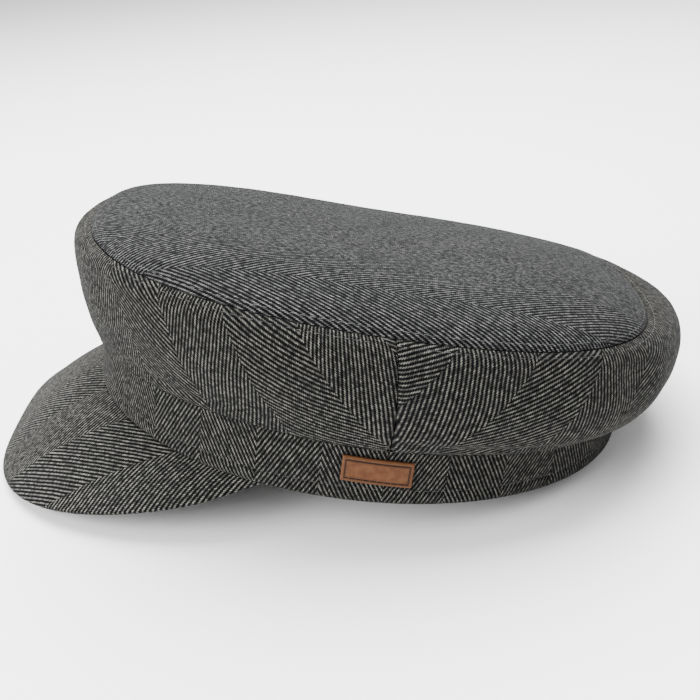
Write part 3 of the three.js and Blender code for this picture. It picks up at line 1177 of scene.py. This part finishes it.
@dataclass
class Peak:
    """The cloth-covered visor."""

    form: CapForm
    stand: Matrix
    sewn_angle: float = 69.0
    reach: float = 40.0
    drop: float = 42.5
    board: float = 3.0
    swell: float = 2.0
    corner: float = 2.5
    squareness: float = 2.48
    side_droop: float = 0.85
    skew: float = 6.0
    far_reach: float = 5.0
    far_sag: float = 5.0
    far_narrow: float = 8.0
    far_sink: float = 4.5
    cloth_turn: float = -3.0
    columns: int = 220
    upper_rows: int = 36
    lower_rows: int = 12
    quick_waves: float = 0.12
    corner_taper: float = 0.7
    taper_start: float = 0.86

    def sewn(self, across: float) -> Vector:
        """A point of the edge sewn under the band, across from -1 at the right to 1 at the left."""
        form = self.form
        return form.band_point(-90 + across * self.sewn_angle, -form.band_wall / 2, -form.seam_gap)

    def rim(self, across: float) -> Vector:
        """A point of the free edge."""
        corner = self.sewn(1)
        depth = self.form.band_length / 2 + self.reach + corner.y
        swing = across * math.pi / 2
        fuller = oval_stretch(swing, self.squareness)
        forward = max(0.0, math.cos(swing)) * fuller
        spare = self.corner * (1 - 0.8 * fade(abs(across), self.taper_start, 1))
        side = (corner.x + spare) * math.sin(swing) * fuller
        side -= self.skew * forward
        fuller_far = self.far_reach * bell(across + 0.4, 0.24)
        pulled = bell(across + 0.83, 0.17) * (1 - fade(abs(across), 0.9, 1))
        side += self.far_narrow * pulled
        low = corner.z - self.drop * forward**self.side_droop - self.far_sink * pulled
        return Vector((side, corner.y - depth * forward - fuller_far, low))

    def smooth(self, across: float, down: float) -> Vector:
        """A point of the upper face, down from 0 at the sewn edge to 1 at the free edge."""
        place = self.sewn(across).lerp(self.rim(across), down)
        rise = self.swell * math.cos(across * math.pi / 2) - self.far_sag * bell(across + 0.64, 0.22)
        swell = rise * math.sin(math.pi * down)
        return place + Vector((0, -swell, swell))

    def normal(self, across: float, down: float) -> Vector:
        """The upward normal of the upper face."""
        step = 0.002
        a = min(1 - step, max(step - 1, across))
        d = min(1 - step, max(step, down))
        sideways = self.smooth(a + step, d) - self.smooth(a - step, d)
        downwards = self.smooth(a, d + step) - self.smooth(a, d - step)
        normal = sideways.cross(downwards).normalized()
        return -normal if normal.z < 0 else normal

    def lay_flat(self) -> np.ndarray:
        """The board's upper face laid flat: rows of place across, then its sewn and free edge.

        Each straight line from the sewn to the free edge keeps its length, and so do both edges.
        """
        stations = np.sin(np.linspace(0, math.pi / 2, 90))
        sewn = [Vector((0, 0))]
        free = [Vector((0, -(self.smooth(0, 1) - self.smooth(0, 0)).length))]
        for before, now in zip(stations, stations[1:]):
            old_sewn, old_free = self.smooth(before, 0), self.smooth(before, 1)
            new_sewn, new_free = self.smooth(now, 0), self.smooth(now, 1)
            sewn.append(
                third_corner(sewn[-1], free[-1], (new_sewn - old_sewn).length, (new_sewn - old_free).length)
            )
            free.append(
                third_corner(sewn[-1], free[-1], (new_free - new_sewn).length, (new_free - old_free).length)
            )
        rows = [(place, *near, *far) for place, near, far in zip(stations, sewn, free)]
        mirrored = [(-place, -near.x, near.y, -far.x, far.y) for place, near, far in zip(stations, sewn, free)]
        return np.array([*reversed(mirrored[1:]), *rows])

    def cut(self, across: float, down: float) -> Flat:
        """The flat-cut place of a place on the upper face."""
        row = [np.interp(across, self.laid[:, 0], self.laid[:, column]) for column in (1, 2, 3, 4)]
        place = Vector((row[0] + (row[2] - row[0]) * down, row[1] + (row[3] - row[1]) * down))
        turned = Matrix.Rotation(math.radians(-self.cloth_turn), 2) @ place
        return turned.x, turned.y

    def section(self, across: float) -> tuple[list[Vector], list[Flat]]:
        """The closed section of the board: out over its top, round its edge and back under it.

        Args:
            across: Place across the peak, from -1 at the right to 1 at the left.

        Returns:
            Its points and their flat-cut places.
        """
        thick = self.board * (1 - self.corner_taper * fade(abs(across), self.taper_start, 1))
        reach = max((self.smooth(across, 1) - self.smooth(across, 0)).length, 0.5)
        bulge = min(thick * 0.35, reach * 0.3)
        last = 1 - bulge / reach
        ring = []
        for down in np.linspace(0, last, self.upper_rows):
            place = self.smooth(across, down)
            ring.append(place + self.normal(across, down) * self.quick_waves * waves(place, 16.0, 9.0))
        flats = [self.cut(across, down) for down in np.linspace(0, last, self.upper_rows)]
        normal = self.normal(across, last)
        outward = (self.smooth(across, last) - self.smooth(across, last - 0.01)).normalized()
        middle = self.smooth(across, last) - normal * (thick / 2)
        for angle in (65, 40, 15, -15, -40, -65):
            swing = math.radians(angle)
            ring.append(middle + outward * bulge * math.cos(swing) + normal * (thick / 2) * math.sin(swing))
        for down in np.linspace(last, 0, self.lower_rows):
            ring.append(self.smooth(across, down) - self.normal(across, down) * thick)
        for corner in ring:
            corner.z = max(corner.z, self.form.rest_height(corner.y))
        ring.append(ring[0])
        on_cut = Vector(flats[-1]) - Vector(flats[-4])
        on_cut = on_cut.normalized() if on_cut.length > 0 else Vector((0, -1))
        run = lengths_along(np.array([list(place) for place in ring]))
        for distance in run[len(flats) :] - run[len(flats) - 1]:
            flats.append(tuple(Vector(flats[self.upper_rows - 1]) + on_cut * float(distance)))
        return ring, flats

    def build(self, cloth: bpy.types.Material) -> None:
        """Builds and dresses the peak.

        Args:
            cloth: Its material.
        """
        self.laid = self.lay_flat()
        made = [self.section(math.sin(swing)) for swing in np.linspace(-math.pi / 2, math.pi / 2, self.columns)]
        bm = carried_grid([section for section, _ in made], [flats for _, flats in made])
        dress(finish_mesh(bm, "peak_cloth", self.stand), cloth, Slot.PEAK, "peak")


@dataclass
class SideLabel:
    """The small leather label on the wearer's left of the band, with a burnt frame and a bare middle."""

    form: CapForm
    stand: Matrix
    length: float = 23.4
    height: float = 9.3
    leather: float = 1.2
    centre: float = 13.0
    back: float = 1.4
    tilt: float = 3.0
    edge_round: float = 0.35
    frame_inset: float = 1.25
    frame_line: float = 0.62
    frame_depth: float = 0.16

    def place(self, along: float, up: float, out: float) -> Vector:
        """A point of the label bent round the band."""
        turn = math.degrees((self.back + along) / (self.form.band_length / 2))
        height = self.centre + up - along * math.tan(math.radians(self.tilt))
        return self.form.band_point(turn, self.form.seam_gap + out, height)

    def front(self, along: float, up: float) -> float:
        """How far out the front face stands, with its rounded edge and burnt frame."""
        reach = max(abs(along) - self.length / 2, abs(up) - self.height / 2)
        sunk = self.frame_depth * bell(reach + self.frame_inset, self.frame_line * 0.6)
        edge = self.edge_round * bell(reach, self.edge_round * 0.8)
        return self.leather - sunk - edge

    def build(self, leather: BurntLeather) -> None:
        """Builds and dresses the label.

        Args:
            leather: Its finish.
        """
        alongs = spaced((-0.0, 0.15, 0.3, 0.5, 0.8, 1.0, 1.2, 1.4, 1.6, 1.9), self.length, 0.6, True)
        ups = spaced((0.0, 0.15, 0.3, 0.5, 0.8, 1.0, 1.2, 1.4, 1.6, 1.9), self.height, 0.5, True)
        points, flats = [], []
        for distance in alongs:
            along = distance - self.length / 2
            column, flat = [], []
            for step in ups:
                up = step - self.height / 2
                column.append(self.place(along, up, self.front(along, up)))
                flat.append((along, up))
            for up in (self.height / 2, -self.height / 2):
                column.append(self.place(along, up, 0.0))
                flat.append((along, up))
            points.append([*column, column[0]])
            flats.append([*flat, flat[0]])
        piece = finish_mesh(carried_grid(points, flats), "label_leather_patch", self.stand)
        dress(piece, leather.make(self), Slot.LABEL, "side_label")


@dataclass
class Studio:
    """A pale floor, soft lights and a camera at the photograph's angle, in metres and degrees."""

    camera_place: tuple[float, float, float] = (0.3555, 0.0144, 0.2056)
    azimuth: float = 90.99
    elevation: float = 26.23
    roll: float = -4.4
    lens: float = 50.12
    floor_size: float = 8.0
    floor_colour: Colour = (0.94, 0.94, 0.94)
    sky: float = 0.8
    lights: dict[str, tuple[tuple[float, float, float], float, float]] = field(
        default_factory=lambda: {
            "overhead": ((-0.3, -0.05, 1.15), 1.1, 72.0),
            "front_fill": ((0.75, -1.1, 0.85), 1.0, 46.0),
        }
    )

    def build(self) -> None:
        """Builds the floor, the lights and the camera."""
        self.lay_floor()
        for name, (place, size, power) in self.lights.items():
            self.hang_light(name, Vector(place), size, power)
        world = bpy.data.worlds.new("studio")
        world.use_nodes = True
        backdrop = world.node_tree.nodes["Background"]
        backdrop.inputs["Color"].default_value = (1, 1, 1, 1)
        backdrop.inputs["Strength"].default_value = self.sky
        bpy.context.scene.world = world
        self.set_camera()

    def lay_floor(self) -> None:
        """Lays the plain floor that the cap rests on."""
        bm = bmesh.new()
        bmesh.ops.create_grid(bm, x_segments=1, y_segments=1, size=self.floor_size / 2)
        mesh = bpy.data.meshes.new("floor")
        bm.to_mesh(mesh)
        bm.free()
        floor = bpy.data.objects.new("floor", mesh)
        bpy.context.scene.collection.objects.link(floor)
        bench = Bench("pale_floor")
        bench.put(bench.shader.inputs["Base Color"], solid(self.floor_colour))
        bench.put(bench.shader.inputs["Roughness"], 0.9)
        bench.put(bench.shader.inputs["Specular IOR Level"], 0.1)
        floor.data.materials.append(bench.material)

    def hang_light(self, name: str, place: Vector, size: float, power: float) -> None:
        """Hangs a square soft light that faces the cap.

        Args:
            name: Name of the light.
            place: Where it hangs.
            size: Its side.
            power: Its power in watts.
        """
        lamp = bpy.data.lights.new(name, "AREA")
        lamp.shape = "SQUARE"
        lamp.size = size
        lamp.energy = power
        holder = bpy.data.objects.new(name, lamp)
        holder.location = place
        holder.rotation_mode = "QUATERNION"
        holder.rotation_quaternion = (-place).to_track_quat("-Z", "Y")
        bpy.context.scene.collection.objects.link(holder)

    def set_camera(self) -> None:
        """Sets the camera at the photograph's place, angle and slight roll."""
        azimuth, elevation, roll = (math.radians(x) for x in (self.azimuth, self.elevation, self.roll))
        level = math.cos(elevation)
        back = Vector((math.sin(azimuth) * level, -math.cos(azimuth) * level, math.sin(elevation)))
        side = Vector((math.cos(azimuth), math.sin(azimuth), 0))
        rise = back.cross(side)
        right = side * math.cos(roll) + rise * math.sin(roll)
        turned = Matrix((right, back.cross(right), back)).transposed().to_4x4()
        camera = bpy.data.objects.new("camera", bpy.data.cameras.new("camera"))
        camera.data.lens = self.lens
        camera.data.clip_start = 0.01
        camera.matrix_world = Matrix.Translation(self.camera_place) @ turned
        bpy.context.scene.collection.objects.link(camera)
        bpy.context.scene.camera = camera


def main() -> None:
    """Builds the cap's pieces in order and sets the studio round them."""
    logging.basicConfig(level=logging.INFO, format="%(name)s %(message)s")
    form = CapForm()
    stand = form.stand()
    Studio().build()
    top = CrownTop(form, stand)
    # The top's pale yarn has a cooler, bluish tint: painted light from the sky above.
    top.build(HerringboneWool("top_wool", first_column=75.3, rib_pitch=1.27, pale_yarn_and_painted_light=(0.136, 0.137, 0.133)).make())
    front = CrownSide(form, stand, "crown_side_front_cloth", "crown_side_front", -90.0)
    back_cut = {"cut_turn": 41.9, "cut_power": 0.516, "weft_turn": 0.0}
    back = CrownSide(form, stand, "crown_side_back_cloth", "crown_side_back", 90.0, **back_cut)
    front.build(HerringboneWool("side_front_wool", first_column=89.65).make())
    back.build(HerringboneWool("side_back_wool", first_column=-102.8).make())
    band = HeadBand(form, stand)
    band.build(HerringboneWool("band_wool", first_column=-81.1).make())
    # The peak's pale yarn is brighter than the other panels': painted light on the face that turns up towards the
    # lamps.
    Peak(form, stand).build(HerringboneWool("peak_wool", first_column=46.2, pale_yarn_and_painted_light=(0.172, 0.168, 0.15)).make())
    SideLabel(form, stand).build(BurntLeather())
    thread = SewingThread().make()
    seam_thread = bmesh.new()
    hem_thread = bmesh.new()
    for panel in (top, front, back):
        panel.stitch(seam_thread, Stitching())
    band.stitch(hem_thread, Stitching())
    dress(finish_mesh(seam_thread, "top_seam_stitching", stand), thread, Slot.CROWN)
    dress(finish_mesh(hem_thread, "band_hem_stitching", stand), thread, Slot.BAND)


if __name__ == "__main__":
    main()
